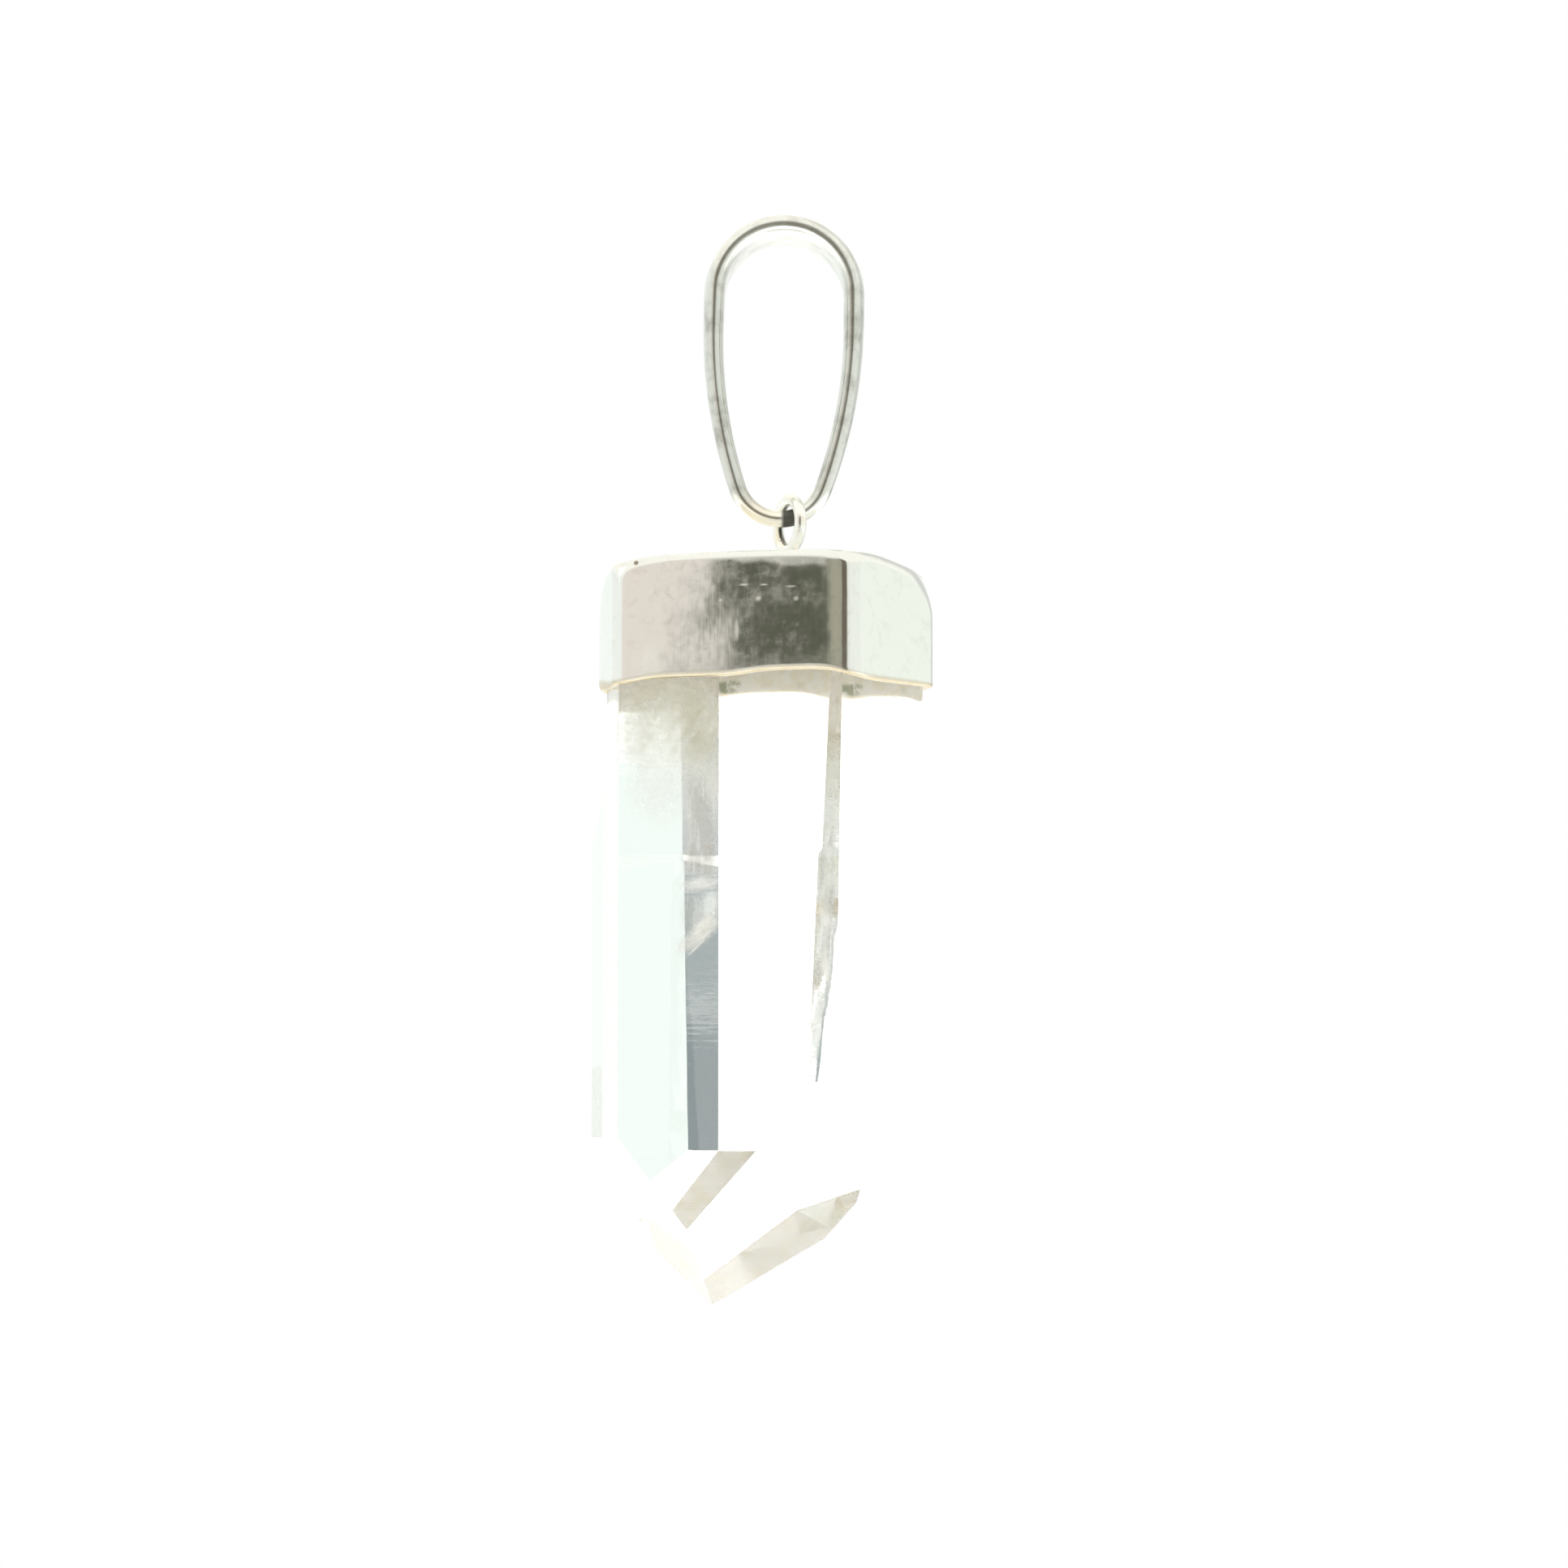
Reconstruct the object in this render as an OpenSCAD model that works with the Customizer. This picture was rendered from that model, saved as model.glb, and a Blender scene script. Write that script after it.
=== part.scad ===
// Quartz point pendant: a silver bail, a silver cap with its soldered ring, and a clear crystal.
// Millimetres, +Z up, front towards -Y. The origin is the inside top of the bail, where a chain sits.

/* [Bail] */
// Height of the loop, outer top to outer foot
bail_h = 13.96; // [13.6:0.02:14.4]
// Outer half width of the loop
bail_half_w = 3.58; // [3.4:0.02:3.8]
// Outer radius of the curve at the foot of the loop
bail_foot_r = 2.4; // [2.3:0.05:2.6]
// Length of the upright stretch under the top curve
bail_upright = 1.22; // [1.0:0.02:1.6]
// Sideways lean of the loop, in degrees
bail_lean = 1.2; // [0.8:0.1:1.6]
// Thickness of the strip at the top
strip_t_top = 1.0; // [0.9:0.02:1.1]
// Thickness and width of the strip at the foot, where it is round
strip_t_foot = 0.74; // [0.6:0.02:0.76]
// Width of the strip at the top, front to back
strip_w_top = 3.2; // [2.4:0.1:3.6]

/* [Ring] */
// Radius of the ring to the middle of its wire
ring_r = 1.12; // [1.1:0.01:1.18]
// Radius of the ring's wire
ring_wire_r = 0.27; // [0.22:0.01:0.28]
// Turn of the ring about the upright, in degrees
ring_yaw = 26; // [0:1:27]
// Play between the ring and the bail's foot
ring_play = 0.18; // [0.15:0.01:0.22]
// Radius of the solder mound under the ring
solder_r = 0.7; // [0.6:0.02:0.8]

/* [Cap] */
// Height of the cap's top face above the stone's tip
cap_top_h = 32.33; // [32.3:0.01:32.4]
// Height of the cap, top face to rim
cap_h = 5.7; // [5.4:0.1:6.0]
// Thickness of the sheet
cap_wall = 0.3; // [0.25:0.01:0.34]
// Outer radius of the cap's corners
cap_corner_r = 0.55; // [0.4:0.05:0.7]
// Bevel of the cap's top edge
cap_bevel = 0.3; // [0.1:0.05:0.4]
// How high the wavy rim rises right of the middle of its front
rim_rise = 0.44; // [0.2:0.02:0.6]
// Half width of that rise
rim_rise_half = 2.35; // [1.8:0.05:2.6]
// How far the cap's top corners are hammered round, as a share of what the photo shows
corner_soft = 1.0; // [0.7:0.05:1.05]

/* [Crystal] */
// Gap between the stone and the cap around it
seat_gap = 0.06; // [0.04:0.01:0.08]
// Height of the step on the stone's left side, above the tip
left_step_h = 23.6; // [23:0.1:24.5]
// Height of the step on the stone's right side, above the tip
right_step_h = 20.0; // [19.5:0.1:20.5]
// How far the upper stone stands out past the right step
right_step_out = 0.6; // [0.3:0.05:0.6]

/* [Hidden] */
$fn = 96;
eps = 0.01;
big = 80;

// The tip of the stone. Every face of the stone and the cap is measured from here.
tip = [-3.19, -0.02, -47.08];

// Faces of the stone: azimuth of the face (0 is the front), lean of the face from the upright,
// and distance of the face from the tip.
prism_faces = [
    [-13.5, 0, 5.0],
    [46.5, 0.88, 8.1],
    [166.5, 0, 7.22],
    [226.5, 0, 4.0],
    [286.5, 0, 5.0],
];
point_faces = [
    [46.5, 38.2, 0],
    [166.5, 47.4, 0],
    [286.5, 34.65, 0],
    [106.5, 38.2, 2.4],
];
// The two faces that change level on the way up, below and above their steps.
// The two levels of the right one are turned a little, so that its step narrows towards the back.
right_low = [106.1, 2.34, 6.32];
right_high = [108.9, 2.36, 6.05 + right_step_out];
left_high = [278.5, 0, 4.55];
right_step_lean = 30;
left_step_lean = -11;

// Faces of the cap: azimuth, and distance of its outer side from the tip's upright
cap_faces = [
    [-13.5, 5.38],
    [46.5, 9.25],
    [107.3, 8.25],
    [166.5, 7.76],
    [226.5, 4.38],
    [278.5, 4.93],
];

function azimuth(face) = face[0];
function lean(face) = face[1];
function dist(face) = face[2];
function cap_dist(face) = face[1];
function normal(az) = [sin(az), -cos(az)];

// Levels of the three arcs of the bail's outline, before its lean
bail_out_top = strip_t_top;
top_z = bail_out_top - bail_half_w;
side_z = top_z - bail_upright;
foot_z = bail_out_top - bail_h + bail_foot_r;
side_drop = side_z - foot_z;
side_r = (side_drop * side_drop + bail_half_w * bail_half_w - bail_foot_r * bail_foot_r)
    / (2 * (bail_half_w - bail_foot_r));
side_angle = asin(side_drop / (side_r - bail_foot_r));

// Stations of half the bail, from its foot up the right side to its top.
// Each has the angle of the strip's outward normal and the centre and radius of its outline there.
foot_steps = 6;
side_steps = 5;
top_steps = 8;
function station(a, cx, cz, r) = [a, cx + r * cos(a), cz + r * sin(a)];
half_stations = concat(
    [for (i = [0:foot_steps])
        station(-90 + (90 - side_angle) * i / foot_steps, 0, foot_z, bail_foot_r)],
    [for (i = [1:side_steps])
        station(-side_angle * (1 - i / side_steps), bail_half_w - side_r, side_z, side_r)],
    [for (i = [0:top_steps])
        station(90 * i / top_steps, 0, top_z, bail_half_w)]
);
last_half = len(half_stations) - 1;
function mirrored(s) = [180 - s[0], -s[1], s[2]];
bail_stations = concat(
    half_stations,
    [for (i = [last_half - 1:-1:1]) mirrored(half_stations[i])]
);

// Section of the strip: round at the foot, domed outside and flat inside at the top
section_n = 16;
flat_power = 0.45;
function smooth(u) = u * u * (3 - 2 * u);
function rise(s) = (s[2] - (bail_out_top - bail_h)) / bail_h;
function strip_w(u) = strip_t_foot + (strip_w_top - strip_t_foot) * smooth(u);
function strip_t(u) = strip_t_foot + (strip_t_top - strip_t_foot) * u;
function power(u) = 1 - (1 - flat_power) * smooth(u);
function signed_pow(v, p) = v < 0 ? -pow(-v, p) : pow(v, p);
function section_across(i, u) =
    let (c = cos(i * 360 / section_n), s = sin(i * 360 / section_n))
    strip_w(u) / 2 * (s < 0 ? signed_pow(c, power(u)) : c);
function section_out(i, u) =
    let (s = sin(i * 360 / section_n))
    strip_t(u) / 2 * (s < 0 ? signed_pow(s, power(u)) : s);
function section_point(s, i) =
    let (u = rise(s), out = section_out(i, u) - strip_t(u) / 2)
    [s[1] + out * cos(s[0]), section_across(i, u), s[2] + out * sin(s[0])];

ring_count = len(bail_stations);
bail_points = [for (s = bail_stations) for (i = [0:section_n - 1]) section_point(s, i)];
bail_quads = [for (k = [0:ring_count - 1]) for (i = [0:section_n - 1])
    let (k2 = (k + 1) % ring_count, i2 = (i + 1) % section_n)
    [k * section_n + i, k * section_n + i2, k2 * section_n + i2, k2 * section_n + i]];

// Where the ring hangs on the bail's foot
ring_off = 0.38;
foot_wire_r = strip_t_foot / 2;
foot_center = [foot_z * sin(bail_lean), foot_z * cos(bail_lean)];
foot_mid_r = bail_foot_r - foot_wire_r;
ring_x = foot_center[0] + ring_off;
swing_z = foot_center[1] - sqrt(foot_mid_r * foot_mid_r - ring_off * ring_off);
foot_slope = asin(ring_off / foot_mid_r);
ring_z = swing_z + foot_wire_r / cos(foot_slope) + ring_play - (ring_r - ring_wire_r);

// Levels of the cap, from the tip
cap_top_z = tip[2] + cap_top_h;
rim_z = cap_top_z - cap_h;
stone_top_z = cap_top_z - cap_wall - seat_gap;
solder_sink = 0.05;

// The rises of the rim, seen from the front: middle, half width and height of each
rim_rises = [
    [0.35, rim_rise_half, rim_rise],
    [-4.2, 2.4, 0.25],
    [-9.2, 1.3, 0.75],
];
rise_power = 4;
wave_end = 11;
below_rim = 1;
wave_steps = 44;
function one_rise(x, r) = r[2] * exp(-pow(abs(x - r[0]) / r[1], rise_power));
function wave(x) = one_rise(x, rim_rises[0]) + one_rise(x, rim_rises[1]) + one_rise(x, rim_rises[2]);

// How far the top falls at each corner of the cap, from the corner after the front face round.
// Two slopes make each fall: how far down and how far inward they start, as shares of it.
corner_falls = [0.55, 2.0, 1.3, 1.3, 1.9, 1.0];
corner_slopes = [[1, 0.5], [0.45, 1.15]];

// The axis that the drop swings about runs along X through this point
echo(swing_axis_point = [ring_x, 0, swing_z]);

// Everything outside one face of the stone
module outside(face) {
    translate(tip)
        rotate([lean(face), 0, azimuth(face)])
            translate([-big / 2, -big - dist(face), -big / 2])
                cube(big);
}

// Everything outside a sloped step that meets a face at a height above the tip
module outside_step(face, step_lean, h) {
    reach = dist(face) / cos(lean(face)) + h * tan(lean(face));
    translate(tip + [0, 0, h])
        rotate([0, 0, azimuth(face)])
            translate([0, -reach, 0])
                rotate([step_lean, 0, 0])
                    translate([-big / 2, -big, -big / 2])
                        cube(big);
}

// Where two neighbouring sides of the cap meet, with both moved out by grow
function corner(i, grow) =
    let (a = cap_faces[i], b = cap_faces[(i + 1) % len(cap_faces)],
        na = normal(azimuth(a)), nb = normal(azimuth(b)),
        da = cap_dist(a) + grow, db = cap_dist(b) + grow,
        det = na[0] * nb[1] - na[1] * nb[0])
    [(da * nb[1] - db * na[1]) / det, (db * na[0] - da * nb[0]) / det];

// The stone's outline inside the cap
stone_outline = [for (i = [0:len(cap_faces) - 1]) corner(i, -cap_wall - seat_gap)];

// The cap's outline from above, with round corners, moved out by grow
module cap_outline(grow, corner_r) {
    sides = len(cap_faces);
    translate([tip[0], tip[1]]) {
        polygon([for (i = [0:sides - 1]) for (side = [0, 1])
            corner(i, grow - corner_r)
                + corner_r * normal(azimuth(cap_faces[(i + side) % sides]))]);
        for (i = [0:sides - 1])
            translate(corner(i, grow - corner_r))
                circle(r = corner_r, $fn = 48);
    }
}

module cap_bevels() {
    for (face = cap_faces)
        translate([tip[0], tip[1], cap_top_z])
            rotate([0, 0, azimuth(face)])
                translate([0, -cap_dist(face) + cap_bevel, 0])
                    rotate([-45, 0, 0])
                        translate([-big / 2, -big, -big / 2])
                            cube(big);
}

// Everything outside the slopes over the cap's top corners, with the slopes moved in
module above_corners(inward) {
    sides = len(cap_faces);
    for (i = [0:sides - 1])
        for (slope = corner_slopes) {
            spot = corner(i, 0);
            both = normal(azimuth(cap_faces[i])) + normal(azimuth(cap_faces[(i + 1) % sides]));
            fall = corner_falls[i] * corner_soft * slope[0];
            reach = corner_falls[i] * corner_soft * slope[1];
            translate([tip[0] + spot[0], tip[1] + spot[1], cap_top_z - fall])
                rotate([-atan(reach / fall), 0, atan2(both[0], -both[1])])
                    translate([-big / 2, inward - big, -big / 2])
                        cube(big);
        }
}

module rim_wave() {
    translate([0, 0, rim_z])
        rotate([90, 0, 0])
            linear_extrude(big, center = true)
                polygon(concat(
                    [[wave_end, -below_rim], [-wave_end, -below_rim]],
                    [for (i = [0:wave_steps])
                        let (x = -wave_end + 2 * wave_end * i / wave_steps)
                        [x, wave(x)]]
                ));
}

module bail() {
    color("silver")
        rotate([0, bail_lean, 0])
            polyhedron(points = bail_points, faces = bail_quads, convexity = 4);
}

module cap_shell() {
    difference() {
        translate([0, 0, rim_z])
            linear_extrude(cap_h)
                cap_outline(0, cap_corner_r);
        difference() {
            translate([0, 0, rim_z - eps])
                linear_extrude(cap_h - cap_wall + eps)
                    cap_outline(-cap_wall, cap_corner_r - cap_wall);
            above_corners(cap_wall);
        }
        cap_bevels();
        above_corners(0);
        rim_wave();
    }
}

module solder_mound() {
    difference() {
        translate([ring_x, 0, cap_top_z - solder_sink])
            sphere(r = solder_r);
        translate([0, 0, cap_top_z - cap_wall / 2 - big / 2])
            cube(big, center = true);
    }
}

module ring() {
    translate([ring_x, 0, ring_z])
        rotate([0, 0, ring_yaw])
            rotate([0, 90, 0])
                rotate_extrude()
                    translate([ring_r, 0])
                        circle(r = ring_wire_r, $fn = 32);
}

module cap() {
    color("silver") {
        cap_shell();
        solder_mound();
        ring();
    }
}

module crystal() {
    color("gainsboro", 0.5)
        difference() {
            union() {
                translate([tip[0] - big / 2, tip[1] - big / 2, tip[2] - eps])
                    cube([big, big, rim_z - tip[2] + eps]);
                translate([tip[0], tip[1], rim_z])
                    linear_extrude(stone_top_z - rim_z)
                        polygon(stone_outline);
            }
            for (face = prism_faces)
                outside(face);
            for (face = point_faces)
                outside(face);
            above_corners(cap_wall + seat_gap);
            outside(right_high);
            intersection() {
                outside(right_low);
                outside_step(right_high, right_step_lean, right_step_h);
            }
            intersection() {
                outside(left_high);
                outside_step(left_high, left_step_lean, left_step_h);
            }
        }
}

bail();
cap();
crystal();
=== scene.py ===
import math

import bmesh
import bpy
from mathutils import Matrix, Vector, noise


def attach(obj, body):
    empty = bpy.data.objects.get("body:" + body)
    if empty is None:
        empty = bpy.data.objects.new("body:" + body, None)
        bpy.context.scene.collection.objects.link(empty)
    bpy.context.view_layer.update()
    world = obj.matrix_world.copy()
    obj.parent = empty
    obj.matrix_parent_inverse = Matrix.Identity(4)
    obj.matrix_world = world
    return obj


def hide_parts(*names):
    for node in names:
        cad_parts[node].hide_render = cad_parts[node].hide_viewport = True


mm = 0.001


def inMetres(sizes):
    return [size * mm for size in sizes]


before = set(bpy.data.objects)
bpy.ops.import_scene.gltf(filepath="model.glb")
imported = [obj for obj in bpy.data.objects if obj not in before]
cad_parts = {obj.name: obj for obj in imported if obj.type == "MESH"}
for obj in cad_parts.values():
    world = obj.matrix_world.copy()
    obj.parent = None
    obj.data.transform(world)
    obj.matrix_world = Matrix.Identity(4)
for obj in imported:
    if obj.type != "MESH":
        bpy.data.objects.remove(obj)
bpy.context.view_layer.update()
print("frame loaded")

# The photograph's view: straight at the drop, looking up a little
view = {
    "distance": 165 * mm,
    "lookingUp": 5,                       # degrees
    "target": (-0.071, 0, -24.354),       # mm
    "widthSeen": 69 * mm,                 # at the target
    "sensor": 36,
}


def makeCamera():
    up = math.radians(view["lookingUp"])
    data = bpy.data.cameras.new("camera")
    data.sensor_width = view["sensor"]
    data.lens = view["sensor"] * view["distance"] / view["widthSeen"]
    data.clip_start, data.clip_end = 0.01, 10
    camera = bpy.data.objects.new("camera", data)
    back = Vector((0, -math.cos(up), -math.sin(up))) * view["distance"]
    camera.location = Vector(view["target"]) * mm + back
    camera.rotation_euler = (math.pi / 2 + up, 0, 0)
    bpy.context.collection.objects.link(camera)
    bpy.context.scene.camera = camera


makeCamera()
bpy.context.scene.view_settings.view_transform = "Standard"

# light turns back many times inside the stone before it leaves
lightTurns = {
    "max_bounces": 64, "glossy_bounces": 48, "transmission_bounces": 48, "diffuse_bounces": 24,
    "transparent_max_bounces": 64,
}
for name, turns in lightTurns.items():
    setattr(bpy.context.scene.cycles, name, turns)
print("camera set")


class Wire:  # a socket that can be added, multiplied and compared
    def __init__(self, bench, socket):
        self.bench, self.socket = bench, socket

    def maths(self, operation, *values):
        step = self.bench.add("ShaderNodeMath", {"operation": operation}, dict(enumerate(values)))
        return step[0]

    def __add__(self, other): return self.maths("ADD", self, other)
    def __radd__(self, other): return self.maths("ADD", other, self)
    def __sub__(self, other): return self.maths("SUBTRACT", self, other)
    def __rsub__(self, other): return self.maths("SUBTRACT", other, self)
    def __mul__(self, other): return self.maths("MULTIPLY", self, other)
    def __rmul__(self, other): return self.maths("MULTIPLY", other, self)
    def __truediv__(self, other): return self.maths("DIVIDE", self, other)
    def __rtruediv__(self, other): return self.maths("DIVIDE", other, self)
    def __pow__(self, other): return self.maths("POWER", self, other)
    def __lt__(self, other): return self.maths("LESS_THAN", self, other)
    def __gt__(self, other): return self.maths("GREATER_THAN", self, other)
    def __neg__(self): return self.maths("MULTIPLY", self, -1)
    def __abs__(self): return self.maths("ABSOLUTE", self)

    def step(self, start, end):  # 0 before start, 1 after end, soft between
        node = self.bench.add("ShaderNodeMapRange", {"interpolation_type": "SMOOTHSTEP"},
                              {"Value": self, "From Min": start, "From Max": end})
        return node["Result"]


class Step:  # one node, read by the name or the number of its outputs
    def __init__(self, bench, node):
        self.bench, self.node = bench, node

    def __getitem__(self, key):
        return Wire(self.bench, self.node.outputs[key])


class Bench:  # a node tree that is being built
    def __init__(self, tree):
        self.tree = tree

    def add(self, kind, settings=None, values=None):
        node = self.tree.nodes.new(kind)
        for name, value in (settings or {}).items():
            setattr(node, name, value)
        for key, value in (values or {}).items():
            socket = node.inputs[key]
            if isinstance(value, Wire):
                self.tree.links.new(value.socket, socket)
            elif socket.type == "RGBA" and len(value) == 3:
                socket.default_value = (*value, 1)
            else:
                socket.default_value = value
        return Step(self, node)

    def mix(self, factor, first, second):
        node = self.add("ShaderNodeMix", {"data_type": "RGBA"}, {0: factor, 6: first, 7: second})
        return node[2]

    def vector(self, operation, *values):
        return self.add("ShaderNodeVectorMath", {"operation": operation}, dict(enumerate(values)))

    def scaled(self, vector, size):
        return self.add("ShaderNodeVectorMath", {"operation": "SCALE"},
                        {0: vector, "Scale": size})[0]

    def split(self, vector):
        return self.add("ShaderNodeSeparateXYZ", {}, {0: vector})

    def attribute(self, name, output="Fac"):
        return self.add("ShaderNodeAttribute", {"attribute_name": name})[output]

    def noise(self, place, scale, detail=2.0, roughness=0.5, distortion=0.0):
        node = self.add("ShaderNodeTexNoise", {}, {
            "Vector": place, "Scale": scale, "Detail": detail,
            "Roughness": roughness, "Distortion": distortion})
        return node[0]

    def stretched(self, place, size, turn=(0, 0, 0)):
        node = self.add("ShaderNodeMapping", {}, {
            "Vector": place, "Rotation": [math.radians(a) for a in turn], "Scale": size})
        return node[0]


def newMaterial(name):
    material = bpy.data.materials.new(name)
    material.use_nodes = True
    material.node_tree.nodes.clear()
    bench = Bench(material.node_tree)
    place = bench.add("ShaderNodeTexCoord")["Object"]
    return material, bench, place


def finishMaterial(bench, shader):
    bench.add("ShaderNodeOutputMaterial", {}, {"Surface": shader})


# Soft studio light: white behind the piece, calmer on the viewer's side, and the parts of the room
# that the silver mirrors and the stone bends into view. Each part is a soft-edged window, in
# degrees: azimuth (0 towards the viewer, positive to the right) and elevation, then its colour.
# The silver sees the mirrored room. The stone, the cement and the veils see the bent one.
studio = {
    "turn": (-0.1, 0.85),                 # where the front's tone starts and is whole
    "white": {"mirrored": (1.08, 1.08, 1.05), "bent": (2.22, 2.21, 2.15)},
    "front": {"mirrored": (0.88, 0.89, 0.83), "bent": (0.94, 0.96, 0.92)},
    "mirrored": [
        # azimuth from, to, edge, elevation from, to, edge, colour
        (-180, 180, 1, 24, 100, 6, (1.08, 1.05, 0.97)),
        (-160, -58, 8, -14, 24, 6, (0.96, 0.98, 0.94)),
        (24, 76, 5, -12, 24, 6, (0.95, 0.97, 0.92)),
        (-62, -31, 5, -12, 24, 8, (0.87, 0.79, 0.73)),
        (-31.8, -24.4, 0.8, -2, 14, 2, (0.085, 0.09, 0.06)),
        (-24.4, -18, 0.6, -6, 16, 2, (0.42, 0.40, 0.31)),
        (-18, 9, 2, -16, 24, 6, (0.16, 0.14, 0.105)),
        (-172, -150, 3, 1, 14, 3, (0.97, 1.01, 0.98)),
        (72, 112, 6, -8, 16, 2, (0.98, 1.02, 0.94)),
        (120, 160, 12, -60, 60, 12, (0.72, 0.74, 0.71)),
    ],
    "bent": [
        (-32, -16, 1, -4, 6.2, 0.5, (0.27, 0.315, 0.32)),
        (-32, -16, 1, 6.2, 8.2, 0.5, (0.33, 0.385, 0.385)),
        (-32, -16, 1, 8.2, 9.1, 0.4, (0.52, 0.55, 0.54)),
        (-32, -16, 1, 9.1, 10.4, 0.4, (0.58, 0.60, 0.56)),
        (-36, -29.5, 1.5, 33, 38, 1.5, (0.80, 0.83, 0.78)),
        (-124, -117, 2, -31, -25, 2, (0.45, 0.51, 0.51)),
        (-147, -139, 1.5, 12, 16, 1, (0.80, 0.83, 0.78)),
        (72, 112, 10, -8, 7.3, 1, (0.94, 1.02, 0.97)),
        (80, 94, 3, 24, 31, 2, (1.01, 1.09, 1.04)),
        (88, 93, 0.4, 8.5, 10.4, 0.3, (0.86, 0.90, 0.84)),
        (97, 102, 0.6, 7.9, 9.3, 0.3, (0.82, 0.85, 0.80)),
        (119, 128, 2, -12, 14, 2, (0.80, 0.83, 0.77)),
        (129, 137, 2, -8, 8, 2, (1.01, 1.06, 1.01)),
    ],
}


def makeStudio():
    world = bpy.data.worlds.new("studio")
    bpy.context.scene.world = world
    world.use_nodes = True
    world.node_tree.nodes.clear()
    bench = Bench(world.node_tree)
    direction = bench.add("ShaderNodeTexCoord")["Generated"]
    axes = bench.split(direction)
    degree = 180 / math.pi
    azimuth = axes[0].maths("ARCTAN2", axes[0], -axes[1]) * degree
    elevation = axes[2].maths("ARCSINE", axes[2]) * degree
    rooms = []
    for part in ("bent", "mirrored"):
        colour = bench.mix((-axes[1]).step(*studio["turn"]), studio["white"][part],
                           studio["front"][part])
        for left, right, side, low, high, end, tint in studio[part]:
            across = azimuth.step(left - side, left + side) \
                * (1 - azimuth.step(right - side, right + side))
            upright = elevation.step(low - end, low + end) \
                * (1 - elevation.step(high - end, high + end))
            colour = bench.mix(across * upright, colour, tint)
        rooms.append(colour)
    path = bench.add("ShaderNodeLightPath")
    colour = bench.mix(path["Is Glossy Ray"] * (1 - path["Is Transmission Ray"]), *rooms)
    room = bench.add("ShaderNodeBackground", {}, {"Color": colour, "Strength": 1.0})[0]
    behind = bench.add("ShaderNodeBackground", {}, {"Color": (1, 1, 1), "Strength": 1.0})[0]
    both = bench.add("ShaderNodeMixShader", {}, {0: path["Is Camera Ray"], 1: room, 2: behind})[0]
    bench.add("ShaderNodeOutputWorld", {}, {"Surface": both})


makeStudio()

floor = {
    "height": -120 * mm, "radius": 450 * mm, "fadeFrom": 280 * mm,
    "colour": (0.93, 0.93, 0.92), "grain": 0.02, "grainScale": 60, "roughness": 0.9,
}


def makeFloor():
    material, bench, place = newMaterial("paleFloor")
    away = bench.vector("LENGTH", place)["Value"]
    grain = (bench.noise(place, floor["grainScale"], 3) - 0.5) * floor["grain"]
    tone = bench.mix(grain + 0.5, [c * 0.985 for c in floor["colour"]], floor["colour"])
    shown = 1 - away.step(floor["fadeFrom"], floor["radius"] * 0.99)
    finishMaterial(bench, bench.add("ShaderNodeBsdfPrincipled", {}, {
        "Base Color": tone, "Roughness": floor["roughness"], "Specular IOR Level": 0.1,
        "Alpha": shown})[0])
    shape = bmesh.new()
    bmesh.ops.create_circle(shape, cap_ends=True, segments=96, radius=floor["radius"])
    shape.transform(Matrix.Translation((0, 0, floor["height"])))
    mesh = bpy.data.meshes.new("floor")
    shape.to_mesh(mesh)
    shape.free()
    mesh.materials.append(material)
    disc = bpy.data.objects.new("floor", mesh)
    bpy.context.collection.objects.link(disc)


makeFloor()
print("studio and floor made")


def newPiece(name, shape, material, smooth=True):
    mesh = bpy.data.meshes.new(name)
    shape.to_mesh(mesh)
    shape.free()
    mesh.polygons.foreach_set("use_smooth", [smooth] * len(mesh.polygons))
    mesh.materials.append(material)
    piece = bpy.data.objects.new(name, mesh)
    bpy.context.collection.objects.link(piece)
    return piece


def settle(piece):  # the modifiers' result becomes a plain mesh
    bpy.context.view_layer.update()
    evaluated = piece.evaluated_get(bpy.context.evaluated_depsgraph_get())
    mesh = bpy.data.meshes.new_from_object(evaluated)
    used = [material for material in mesh.materials if material][:1]
    mesh.materials.clear()   # one slot, without the empty ones that trees leave
    for material in used:
        mesh.materials.append(material)
    mesh.polygons.foreach_set("material_index", [0] * len(mesh.polygons))
    piece.modifiers.clear()
    old, name = piece.data, piece.name
    if piece.type != "MESH":
        bpy.data.objects.remove(piece)
        piece = bpy.data.objects.new(name, mesh)
        bpy.context.collection.objects.link(piece)
        piece.name = name
    else:
        piece.data = mesh
        bpy.data.meshes.remove(old)
    piece.data.name = name
    return piece


def turnOut(mesh, gap):  # doubles merged, then every face turned outwards
    shape = bmesh.new()
    shape.from_mesh(mesh)
    bmesh.ops.remove_doubles(shape, verts=shape.verts[:], dist=gap)
    bmesh.ops.recalc_face_normals(shape, faces=shape.faces[:])
    shape.to_mesh(mesh)
    shape.free()


# Silver: bright sheet with fine scratches, soft dents and a little tarnish
silver = {
    "scratchSize": (9000, 9000, 700), "scratchTurn": (20, 10, 0),
    "crossSize": (800, 7000, 9000), "crossTurn": (0, 25, 35),
    "scratchDepth": 0.004 * mm, "dentDepth": 0.03 * mm, "dentScale": 700,
}


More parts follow.
